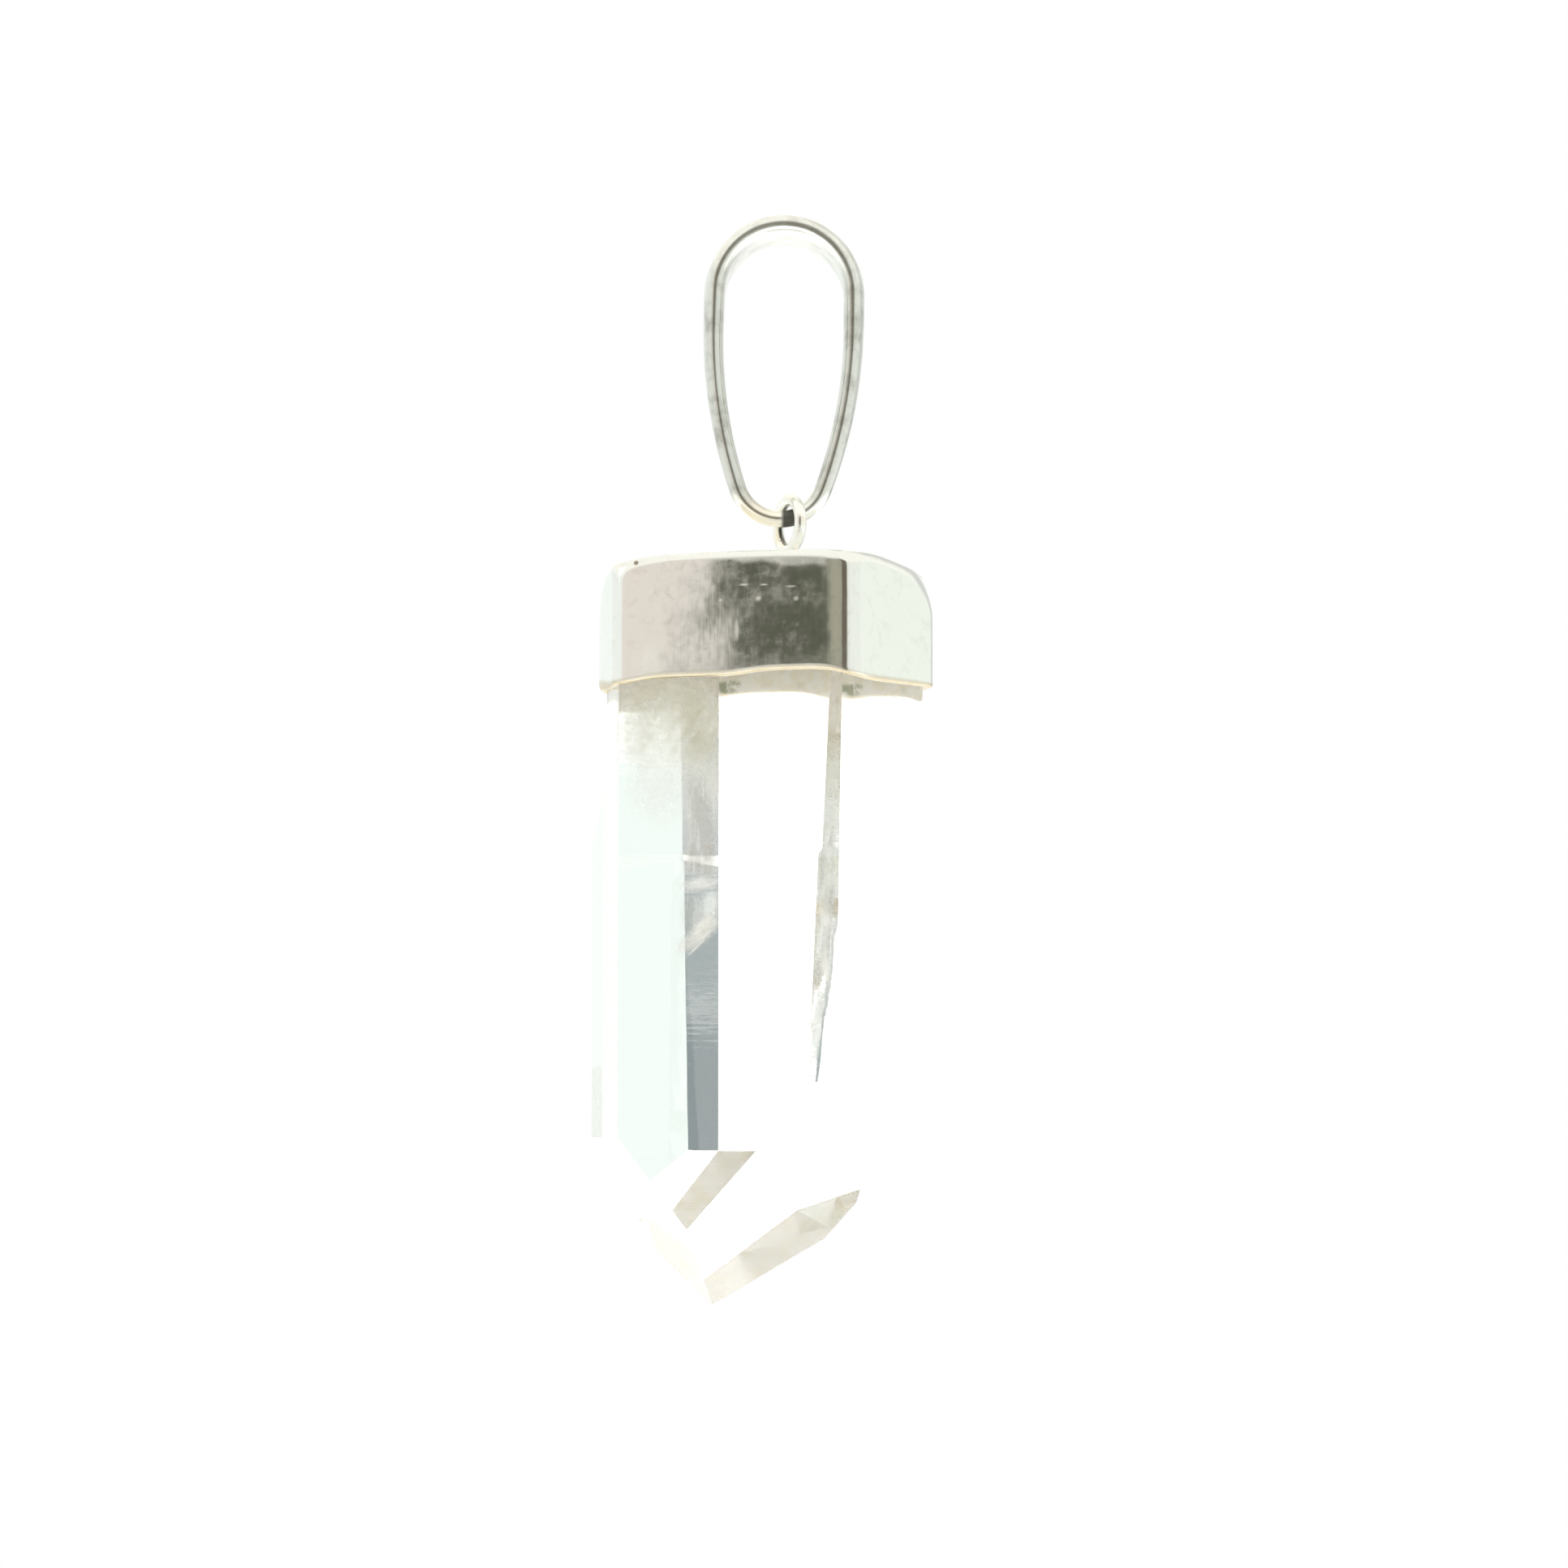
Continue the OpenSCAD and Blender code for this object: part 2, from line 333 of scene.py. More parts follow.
def silverSurface(bench, place, scratch=0.25, wave=0.4):
    long = bench.noise(
        bench.stretched(place, silver["scratchSize"], silver["scratchTurn"]), 1, 2)
    cross = bench.noise(bench.stretched(place, silver["crossSize"], silver["crossTurn"]), 1, 2)
    fine = (long + cross) * 0.5
    soft = bench.noise(place, silver["dentScale"], 2)
    grain = bench.add("ShaderNodeBump", {}, {
        "Strength": scratch, "Distance": silver["scratchDepth"], "Height": fine})[0]
    dented = bench.add("ShaderNodeBump", {}, {
        "Strength": wave, "Distance": silver["dentDepth"], "Height": soft, "Normal": grain})[0]
    return fine, soft, dented


def spot(bench, place, centre, size):  # 1 within an ellipsoid, given in mm, falling off at its skin
    off = bench.vector("SUBTRACT", place, inMetres(centre))[0]
    reach = bench.vector("DIVIDE", off, inMetres(size))[0]
    return 1 - bench.vector("LENGTH", reach)["Value"].step(0.5, 1.0)


# The cap's finish. Places and half sizes are in mm, colours are the metal's or the cement's own.
capFinish = {
    "bright": (0.87, 0.885, 0.855), "dull": (0.70, 0.68, 0.64), "roughness": 0.07,
    "gilt": (0.50, 0.41, 0.24),           # where the rim catches the old cement's colour
    "palePatch": (-5.9, -4.9, -19.6), "paleReach": (0.3, 1.1), "pale": (0.93, 0.99, 0.93),
    "pit": ((-6.44, -4.72, -15.18), (0.15, 1, 0.15)), "pitDark": (0.22, 0.17, 0.12),
    "scuffs": [                           # the worn marks on the front
        ((-1.77, -5.17, -16.33), (0.36, 1, 0.10)), ((-0.90, -5.38, -16.36), (0.33, 1, 0.08)),
        ((0.27, -5.66, -16.47), (0.46, 1, 0.10)), ((-1.15, -5.32, -16.95), (0.22, 1, 0.20)),
        ((0.45, -5.70, -17.00), (0.24, 1, 0.22)), ((-2.09, -5.09, -18.25), (0.17, 1, 0.85)),
        ((-2.79, -4.93, -16.96), (0.12, 1, 0.12)),
    ],
    "scuffRoughness": 0.24,
    "cement": ((0.97, 0.945, 0.87), (0.92, 0.86, 0.71)), "cementPatch": (0.52, 0.53, 0.38),
    "stain": ((-1.5, 7.15, -19.75), (0.95, 0.8, 0.38)), "stainDark": (0.30, 0.33, 0.20),
    "browZ": -15.52, "browEdge": (-0.12, 0.14), "browEnd": (1.5, 2.0), "browRoughness": 0.15,
    "hemZ": (-20.3, -18.9), "hemRoughness": 0.05,
}


def capMaterial():
    finish = capFinish
    material, bench, place = newMaterial("capSilver")
    fine, soft, normal = silverSurface(bench, place)
    blotch = bench.noise(place, 1500, 4, 0.65, 0.6)
    speck = bench.noise(place, 5200, 3, 0.6)
    dull = blotch.step(0.5, 0.75) * 0.35 + speck.step(0.6, 0.8) * 0.2
    tone = bench.mix(dull, finish["bright"], finish["dull"])
    away = bench.vector("DISTANCE", place, inMetres(finish["palePatch"]))["Value"]
    pale = 1 - away.step(*inMetres(finish["paleReach"]))
    tone = bench.mix(pale * blotch.step(0.3, 0.55) * 0.7, tone, finish["pale"])
    tone = bench.mix(spot(bench, place, *finish["pit"]) * 0.9, tone, finish["pitDark"])
    scuffed = 0
    for centre, size in finish["scuffs"]:
        scuffed = spot(bench, place, centre, size) * finish["scuffRoughness"] + scuffed
    lip = bench.attribute("lip")
    tone = bench.mix(lip * (0.65 + blotch * 0.35), tone, finish["gilt"])
    # the wall inside holds old cement: pale tan, with a few dark green patches
    wall = bench.attribute("inside")
    patch = bench.noise(place, 520, 3, 0.55).step(0.60, 0.74) * 0.5
    stain = spot(bench, place, *finish["stain"]) * blotch.step(0.35, 0.55)
    cement = bench.mix(blotch.step(0.42, 0.62), *finish["cement"])
    cement = bench.mix(patch, cement, finish["cementPatch"])
    cement = bench.mix(stain * 0.85, cement, finish["stainDark"])
    shade = bench.mix(wall, tone, cement)
    worn = bench.noise(place, 1100, 4, 0.7).step(0.45, 0.7)
    axes = bench.split(place)
    # the sheet is worn dull along the top of the front and a little along its foot
    wander = axes[0] * 0.12 + (soft - 0.5) * 0.7 * mm
    brow = (axes[2] - finish["browZ"] * mm + wander).step(*inMetres(finish["browEdge"])) \
        * (1 - axes[0].step(*inMetres(finish["browEnd"])))
    hem = 1 - axes[2].step(*inMetres(finish["hemZ"]))
    rubbed = (brow * finish["browRoughness"] + hem * finish["hemRoughness"]) * (1 - wall)
    rough = finish["roughness"] + fine * 0.06 + dull * 0.14 + worn * 0.06 + wall * 0.5 \
        + lip * 0.15 + scuffed + rubbed
    finishMaterial(bench, bench.add("ShaderNodeBsdfPrincipled", {}, {
        "Base Color": shade, "Metallic": 1 - wall, "Roughness": rough,
        "Normal": normal})[0])
    return material


# The bail's finish: painted shade inside the loop, thinner towards its top, a painted dark line
# along its edges, painted shade across the outer face, a painted shadow where the ring holds the
# foot and a painted warm highlight on the foot
bailFinish = {
    # the third colour is a painted warm highlight on the foot
    "bright": (0.95, 0.97, 0.93), "dull": (0.86, 0.85, 0.79), "warm": (1.0, 0.87, 0.66),
    # colours of painted shade: across the outer face towards its edges, inside the loop, and a dark
    # line along the strip's edges
    "fade": (0.38, 0.39, 0.34), "grime": (0.10, 0.092, 0.07), "edge": (0.11, 0.105, 0.08),
    # the first colour on the next line is a painted shadow where the ring holds the foot
    "rub": (0.05, 0.05, 0.04), "roughness": 0.2,
    "footZ": (-12.6, -11.2), "topZ": (-3.2, -1.2), "leftX": (-2, 1),
    "lowZ": ((-11.2, -9.0), (-8.5, -5.5)),
    "rubX": 0.16, "rubReach": (0.22, 0.42), "rubZ": (-12, -11.5),   # painted shadow where the ring holds the foot
}


def bailMaterial():
    finish = bailFinish
    material, bench, place = newMaterial("bailSilver")
    fine, soft, normal = silverSurface(bench, place)
    side = bench.attribute("outside")
    axes = bench.split(place)
    blotch = bench.noise(place, 900, 3, 0.6).step(0.42, 0.72)
    inner = 1 - side.step(-0.25, -0.05)
    edge = side.step(-0.30, -0.10) * (1 - side.step(-0.02, 0.10))
    lowFrom, lowTo = finish["lowZ"]
    low = axes[2].step(*inMetres(lowFrom)) * (1 - axes[2].step(*inMetres(lowTo)))
    # painted shadow on the foot where it passes through the ring, with rougher metal there
    ringShadowMask = 1 - abs(axes[0] - finish["rubX"] * mm).step(*inMetres(finish["rubReach"]))
    ringShadowMask = ringShadowMask * (1 - axes[2].step(*inMetres(finish["rubZ"])))
    left = 1 - axes[0].step(*inMetres(finish["leftX"]))
    foot = 1 - axes[2].step(*inMetres(finish["footZ"]))
    high = axes[2].step(*inMetres(finish["topZ"]))
    tone = bench.mix(blotch * 0.4, finish["bright"], finish["dull"])
    # painted warm highlight on the foot's left side
    tone = bench.mix(foot * left * 0.7, tone, finish["warm"])
    # painted shade on the inner face of the loop, darkest on the left leg and low down, less
    # towards the top
    grime = (0.50 + left * 0.38 + low * 0.10 + blotch * 0.06) * (1 - foot) * (1 - high * 0.5)
    # painted shade: the outer face grows darker towards its edges, a little more on the left leg
    fade = (1 - side.step(0.0, 0.8)) * (0.06 + left * 0.02) * (1 - foot) * (1 - high * 0.7)
    # painted shade: a dark line along the strip's edges, in place of a dark reflection
    edgeLineShade = edge * (0.3 + blotch * 0.3) * (1 - foot) * (1 - high * 0.5)
    tone = bench.mix(fade, tone, finish["fade"])
    shade = bench.mix(inner * grime, tone, finish["grime"])
    shade = bench.mix(edgeLineShade, shade, finish["edge"])
    shade = bench.mix(ringShadowMask * 0.9, shade, finish["rub"])
    rough = finish["roughness"] + fine * 0.08 + inner * 0.1 + ringShadowMask * 0.3
    finishMaterial(bench, bench.add("ShaderNodeBsdfPrincipled", {}, {
        "Base Color": shade, "Metallic": 1.0, "Roughness": rough, "Normal": normal})[0])
    return material


# The ring and its solder: warmer in patches, with painted shade inside the ring's eye
solderFinish = {
    # the last colour is painted shade inside the ring's eye
    "bright": (0.95, 0.96, 0.92), "warm": (0.90, 0.83, 0.70), "residue": (0.05, 0.045, 0.035),
    "eye": (0.84, 0.90),                  # mm from the ring's middle
    "roughness": 0.16, "scratches": 0.3, "dents": 0.8,
}


def solderMaterial():
    finish = solderFinish
    material, bench, place = newMaterial("solderSilver")
    fine, soft, normal = silverSurface(bench, place, finish["scratches"], finish["dents"])
    warm = bench.noise(place, 1100, 3, 0.6).step(0.45, 0.7)
    shade = bench.mix(warm, finish["bright"], finish["warm"])
    away = bench.vector("DISTANCE", place, inMetres(ring["centre"]))["Value"]
    # painted shade on the ring's inner side, in its eye
    shade = bench.mix(1 - away.step(*inMetres(finish["eye"])), shade, finish["residue"])
    finishMaterial(bench, bench.add("ShaderNodeBsdfPrincipled", {}, {
        "Base Color": shade, "Metallic": 1.0, "Roughness": finish["roughness"] + fine * 0.1,
        "Normal": normal})[0])
    return material


# Clear quartz: faint growth lines across the faces, slow waves and a few dull smears
quartzFinish = {
    "ior": 1.544, "smears": 0.03,
    "lineSize": (160, 160, 5200), "lineStrength": 0.10, "lineDepth": 0.006 * mm,
    "waveScale": 260, "waveStrength": 0.25, "waveDepth": 0.02 * mm,
}


def quartzMaterial():
    finish = quartzFinish
    material, bench, place = newMaterial("clearQuartz")
    lines = bench.noise(bench.stretched(place, finish["lineSize"]), 1, 3, 0.6)
    waves = bench.noise(place, finish["waveScale"], 2)
    lined = bench.add("ShaderNodeBump", {}, {
        "Strength": finish["lineStrength"], "Distance": finish["lineDepth"], "Height": lines})[0]
    waved = bench.add("ShaderNodeBump", {}, {
        "Strength": finish["waveStrength"], "Distance": finish["waveDepth"], "Height": waves,
        "Normal": lined})[0]
    smear = bench.noise(place, 900, 4, 0.7).step(0.55, 0.8)
    finishMaterial(bench, bench.add("ShaderNodeBsdfPrincipled", {}, {
        "Base Color": (1, 1, 1), "Roughness": smear * finish["smears"], "IOR": finish["ior"],
        "Transmission Weight": 1.0, "Normal": waved})[0])
    return material


# The bail: a strip bent to a drop-shaped loop, round at the foot and flat inside at the top.
# The sizes are the solid's own, in mm.
bail = {
    "height": 13.96, "halfWidth": 3.58, "footRadius": 2.4, "upright": 1.22, "lean": 1.2,
    "thicknessTop": 1.0, "thicknessFoot": 0.74, "widthTop": 3.2, "flatPower": 0.45,
    "stations": 260, "around": 32, "waver": 0.03, "waverScale": 420, "join": 0.002,
}


def bailPath():  # the outer outline, counter-clockwise from the foot, in mm
    top = bail["thicknessTop"]
    topZ = top - bail["halfWidth"]
    sideZ = topZ - bail["upright"]
    footZ = top - bail["height"] + bail["footRadius"]
    drop = sideZ - footZ
    sideR = (drop ** 2 + bail["halfWidth"] ** 2 - bail["footRadius"] ** 2) \
        / (2 * (bail["halfWidth"] - bail["footRadius"]))
    sideAngle = math.asin(drop / (sideR - bail["footRadius"]))

    def arc(x, z, r, first, last, steps):
        return [(x + r * math.cos(a), z + r * math.sin(a))
                for a in (first + (last - first) * i / steps for i in range(steps + 1))]

    half = arc(0, footZ, bail["footRadius"], -math.pi / 2, -sideAngle, 24)
    half += arc(bail["halfWidth"] - sideR, sideZ, sideR, -sideAngle, 0, 30)[1:]
    half += arc(0, topZ, bail["halfWidth"], 0, math.pi / 2, 40)
    loop = half + [(-x, z) for x, z in half[-2:0:-1]]
    lean = math.radians(bail["lean"])
    return [(x * math.cos(lean) + z * math.sin(lean), z * math.cos(lean) - x * math.sin(lean))
            for x, z in loop]


def stripTree():
    tree = bpy.data.node_groups.new("bentStrip", "GeometryNodeTree")
    for name, kind in (("Path", "Geometry"), ("Foot level", "Float"), ("Height", "Float"),
                       ("Foot size", "Float"), ("Top thickness", "Float"),
                       ("Top width", "Float"), ("Flatness", "Float"), ("Stations", "Int"),
                       ("Points around", "Int"), ("Waver", "Float"), ("Waver scale", "Float"),
                       ("Join", "Float"), ("Finish", "Material")):
        tree.interface.new_socket(name, in_out="INPUT", socket_type="NodeSocket" + kind)
    tree.interface.new_socket("Strip", in_out="OUTPUT", socket_type="NodeSocketGeometry")
    bench = Bench(tree)
    given = bench.add("NodeGroupInput")
    grid = bench.add("GeometryNodeMeshGrid", {}, {
        "Size X": 1.0, "Size Y": 1.0, "Vertices X": given["Stations"],
        "Vertices Y": given["Points around"]})
    own = bench.split(bench.add("GeometryNodeInputPosition")[0])
    along, around = own[0] + 0.5, (own[1] + 0.5) * (2 * math.pi)
    station = bench.add("GeometryNodeSampleCurve", {"mode": "FACTOR"}, {
        "Curves": given["Path"], "Factor": along})
    here = bench.split(station["Position"])
    way = bench.split(station["Tangent"])
    rise = (here[2] - given["Foot level"]) / given["Height"]
    eased = rise * rise * (3 - rise * 2)
    width = given["Foot size"] + (given["Top width"] - given["Foot size"]) * eased
    thick = given["Foot size"] + (given["Top thickness"] - given["Foot size"]) * rise
    sine, cosine = around.maths("SINE", around), around.maths("COSINE", around)
    inside = sine < 0
    power = 1 - (1 - given["Flatness"]) * eased * inside
    across = width / 2 * (abs(cosine) ** power) * cosine.maths("SIGN", cosine)
    out = thick / 2 * (abs(sine) ** power) * sine.maths("SIGN", sine) - thick / 2
    shake = bench.add("ShaderNodeTexNoise", {}, {
        "Vector": station["Position"], "Scale": given["Waver scale"]})[0]
    out = out - shake * given["Waver"] * eased
    moved = bench.add("ShaderNodeCombineXYZ", {}, {
        0: here[0] + way[2] * out, 1: across, 2: here[2] - way[0] * out})[0]
    bent = bench.add("GeometryNodeSetPosition", {}, {
        "Geometry": grid["Mesh"], "Position": moved})[0]
    marked = bench.add("GeometryNodeStoreNamedAttribute", {"data_type": "FLOAT"}, {
        "Geometry": bent, "Name": "outside", "Value": sine})[0]
    closed = bench.add("GeometryNodeMergeByDistance", {}, {
        "Geometry": marked, "Distance": given["Join"]})[0]
    smooth = bench.add("GeometryNodeSetShadeSmooth", {}, {"Geometry": closed})[0]
    real = bench.add("GeometryNodeRealizeInstances", {}, {"Geometry": smooth})[0]
    done = bench.add("GeometryNodeSetMaterial", {}, {
        "Geometry": real, "Material": given["Finish"]})[0]
    bench.add("NodeGroupOutput", {}, {"Strip": done})
    return tree


def growBy(piece, tree, inputs):  # a geometry tree on a piece, with its inputs by their names
    modifier = piece.modifiers.new("build", "NODES")
    modifier.node_group = tree
    for item in tree.interface.items_tree:
        if item.in_out == "INPUT" and item.name in inputs:
            modifier[item.identifier] = inputs[item.name]


def makeBail():
    points = bailPath()
    data = bpy.data.curves.new("bailPath", "CURVE")
    data.dimensions = "3D"
    spline = data.splines.new("POLY")
    spline.points.add(len(points) - 1)
    for point, (x, z) in zip(spline.points, points):
        point.co = (x * mm, 0, z * mm, 1)
    spline.use_cyclic_u = True
    piece = bpy.data.objects.new("bailStrip", data)
    bpy.context.collection.objects.link(piece)
    material = bailMaterial()
    growBy(piece, stripTree(), {
        "Foot level": (bail["thicknessTop"] - bail["height"]) * mm, "Height": bail["height"] * mm,
        "Foot size": bail["thicknessFoot"] * mm, "Top thickness": bail["thicknessTop"] * mm,
        "Top width": bail["widthTop"] * mm, "Flatness": bail["flatPower"],
        "Stations": bail["stations"], "Points around": bail["around"] + 1,
        "Waver": bail["waver"] * mm, "Waver scale": bail["waverScale"],
        "Join": bail["join"] * mm, "Finish": material})
    piece = settle(piece)
    turnOut(piece.data, bail["join"] * mm)
    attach(piece, "bail")
    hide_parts("bail")
    print("bail made")


makeBail()

# The cap: a box of silver sheet bent round the stone, its top corners hammered round and its rim
# trimmed in soft waves. Sizes in mm.
cap = {
    "axis": (-3.19, -0.02),               # the faces are measured from this upright
    "faces": [(-13.5, 5.38), (46.5, 9.25), (107.3, 8.25), (166.5, 7.76), (226.5, 4.38),
              (278.5, 4.93)],             # azimuth and distance
    "topZ": -14.75, "height": 5.7, "wall": 0.3, "topRound": 0.34,
    "cornerRadii": [0.95, 0.7, 0.6, 0.6, 0.8, 0.85], "leastRadius": 0.2,
    "falls": [0.55, 2.0, 1.3, 1.3, 1.9, 1.0],       # of the top at each corner
    "slopes": [(1, 0.5), (0.45, 1.15)],             # how each fall runs: down and inward
    "rimRises": [(0.35, 2.35, 0.44), (-4.2, 2.4, 0.25), (-9.2, 1.3, 0.75)],   # middle, half, height
    "risePower": 4,
    "frontTurn": 4.5,                     # degrees that the front face falls away at its left
    "curlFrom": 1.3, "curl": 0.075,       # how it falls away before its right corner
    "turnPower": 2.6, "turnReach": 4, "dent": 0.02,
    "sideSteps": 34, "cornerSteps": 14, "rows": 26, "roundSteps": 9, "topSteps": 14,
    "insideSteps": 8, "lipSteps": 5,
    "topSoft": 0.25, "underSoft": 0.03,   # how softly the falls run into the level middle
    "cornerGain": 0.35, "roundGain": 0.25,   # softer corners and edge where the top falls most
}


def faceNormal(azimuth):
    a = math.radians(azimuth)
    return Vector((math.sin(a), -math.cos(a)))


def cornerPoint(i, grow):
    count = len(cap["faces"])
    (az1, d1), (az2, d2) = cap["faces"][i % count], cap["faces"][(i + 1) % count]
    n1, n2 = faceNormal(az1), faceNormal(az2)
    d1, d2 = d1 + grow, d2 + grow
    det = n1.x * n2.y - n1.y * n2.x
    return Vector(((d1 * n2.y - d2 * n1.y) / det, (d2 * n1.x - d1 * n2.x) / det))


def capOutline(grow, radii):  # round the cap: points and outward normals
    count = len(cap["faces"])
    rows = []
    for i in range(count):
        before, after = (i - 1) % count, i
        normal = faceNormal(cap["faces"][i][0])
        following = faceNormal(cap["faces"][(i + 1) % count][0])
        start = cornerPoint(before, grow - radii[before]) + normal * radii[before]
        end = cornerPoint(after, grow - radii[after]) + normal * radii[after]
        for k in range(cap["sideSteps"]):
            u = 0.5 - 0.5 * math.cos(math.pi * k / cap["sideSteps"])   # closer near the corners
            rows.append((start.lerp(end, u), normal))
        centre = cornerPoint(after, grow - radii[after])
        turn = -normal.angle_signed(following)
        for k in range(cap["cornerSteps"]):
            a = turn * k / cap["cornerSteps"]
            n = Vector((normal.x * math.cos(a) - normal.y * math.sin(a),
                        normal.x * math.sin(a) + normal.y * math.cos(a)))
            rows.append((centre + n * radii[after], n))
    shift = Vector(cap["axis"])
    return [(p + shift, n) for p, n in rows]


def topFall(p, inward, least, soft):  # how far the top lies below its highest level at a point
    fall = least
    count = len(cap["faces"])
    for i in range(count):
        corner = cornerPoint(i, 0) + Vector(cap["axis"])
        both = faceNormal(cap["faces"][i][0]) + faceNormal(cap["faces"][(i + 1) % count][0])
        out = (Vector((p.x, p.y)) - corner).dot(both.normalized())
        for down, reach in cap["slopes"]:
            down, reach = down * cap["falls"][i], reach * cap["falls"][i]
            here = down + out * down / reach + inward * math.hypot(down, reach) / reach
            fall = (fall + here + math.hypot(fall - here, soft)) / 2
    return fall


def rimWave(x):
    return sum(height * math.exp(-(abs(x - middle) / half) ** cap["risePower"])
               for middle, half, height in cap["rimRises"])


def handWork(p):  # the front face falls away a little towards its left, as bent sheet does
    front = faceNormal(cap["faces"][0][0])
    side = Vector((-front.y, front.x))
    left, right = cornerPoint(len(cap["faces"]) - 1, 0), cornerPoint(0, 0)
    own = Vector((p.x, p.y)) - Vector(cap["axis"])
    t = min(1.0, max(0.0, (own - left).dot(side) / (right - left).dot(side)))
    near = (own.dot(front) - cap["faces"][0][1]) / cap["turnReach"] + 1
    near = min(1.0, max(0.0, near))
    long = (right - left).length
    power = cap["turnPower"]
    back = long * math.tan(math.radians(cap["frontTurn"])) * (1 - t) ** power / power
    curl = max(0.0, (own - right).dot(side) + cap["curlFrom"]) / cap["curlFrom"]
    back += cap["curl"] * min(1.0, curl) ** 2
    shift = -front * back * near * near * (3 - 2 * near)
    dent = (noise.noise(Vector(p) * 0.5) - 1) * 0.5 * cap["dent"]
    out = own.normalized() * dent
    return Vector((p.x + shift.x + out.x, p.y + shift.y + out.y, p.z))


def makeCap():
    topZ, wall, lip = cap["topZ"], cap["wall"], cap["wall"] / 3
    rimZ = topZ - cap["height"]
    radii = cap["cornerRadii"]
    outer = capOutline(0, radii)
    inner = capOutline(-wall, [max(cap["leastRadius"], r - wall) for r in radii])
    top = capOutline(-cap["topRound"], [r + cap["cornerGain"] * fall
                                        for r, fall in zip(radii, cap["falls"])])
    middle = sum((p for p, n in outer), Vector((0, 0))) / len(outer)
    shape = bmesh.new()
    inside = shape.verts.layers.float.new("inside")
    gilt = shape.verts.layers.float.new("lip")
    rings = []

    def addRing(points, mark=0.0, warm=0.0):
        made = []
        for point in points:
            vert = shape.verts.new(handWork(Vector(point)) * mm)
            vert[inside], vert[gilt] = mark, warm
            made.append(vert)
        rings.append(made)

    def rim(p):
        return rimZ + rimWave(p.x) + lip

    def under(p):  # the under side of the top
        return topZ - topFall(p, wall, wall, cap["underSoft"])

    def over(p):  # the top's own surface
        return topZ - topFall(p, 0, 0, cap["topSoft"])

    steps = cap["insideSteps"]
    for k in range(1, steps + 1):  # under the top, outwards from its middle
        spots = [middle.lerp(p, k / steps) for p, n in inner]
        addRing([(q.x, q.y, under(q)) for q in spots], 1.0)
    for k in range(1, steps + 1):  # inner wall, down
        addRing([(p.x, p.y, under(p) + (rim(p) - under(p)) * k / steps) for p, n in inner],
                1.0, 0.6 if k == steps else 0.0)
    for k in range(1, cap["lipSteps"]):  # the rim's rounded lip
        a = math.pi * k / cap["lipSteps"]
        spots = [q.lerp(p, (1 - math.cos(a)) / 2) for (p, n), (q, m) in zip(outer, inner)]
        addRing([(p.x, p.y, rim(q) - lip * math.sin(a)) for p, (q, m) in zip(spots, inner)],
                0.5 if k == 1 else 0.0, 1.0)
    bends = [cap["topRound"] + cap["roundGain"] * (topZ - over(p)) for p, n in outer]
    for k in range(cap["rows"] + 1):  # outer wall
        addRing([(p.x, p.y, rim(p) + (over(p) - bend - rim(p)) * k / cap["rows"])
                 for (p, n), bend in zip(outer, bends)], 0.0, 0.8 if k == 0 else 0.0)
    for k in range(1, cap["roundSteps"] + 1):  # the top edge rounds over
        a = math.pi / 2 * k / cap["roundSteps"]
        spots = [p.lerp(q, 1 - math.cos(a)) for (p, n), (q, m) in zip(outer, top)]
        addRing([(q.x, q.y, over(q) - bend * (1 - math.sin(a))) for q, bend in zip(spots, bends)])
    for k in range(1, cap["topSteps"]):  # top face
        spots = [middle.lerp(q, 1 - k / cap["topSteps"]) for q, n in top]
        addRing([(q.x, q.y, over(q)) for q in spots])
    around = len(outer)
    for lower, upper in zip(rings, rings[1:]):
        for i in range(around):
            j = (i + 1) % around
            shape.faces.new((lower[i], lower[j], upper[j], upper[i]))
    centre = shape.verts.new(inMetres((middle.x, middle.y, over(middle))))
    deep = shape.verts.new(inMetres((middle.x, middle.y, under(middle))))
    deep[inside] = 1.0
    for i in range(around):
        j = (i + 1) % around
        shape.faces.new((rings[-1][i], rings[-1][j], centre))
        shape.faces.new((rings[0][j], rings[0][i], deep))
    bmesh.ops.recalc_face_normals(shape, faces=shape.faces[:])
    piece = newPiece("capShell", shape, capMaterial())
    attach(piece, "drop")
    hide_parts("cap")
    print("cap made")


makeCap()

# The ring and the solder mound that it stands in, under one thin smooth skin. Sizes in mm.
ring = {
    "radius": 1.12, "wire": 0.27, "turn": 26, "centre": (0.158848, 0, -12.8451),
    "solderRadius": 0.74, "solderHeight": 0.68, "solderSink": 0.1, "flare": 0.5,
    "solderRows": 14, "solderAround": 40, "wobble": 0.18,
    "skin": 0.035, "smoothing": 0.5, "smoothTurns": 8,
}


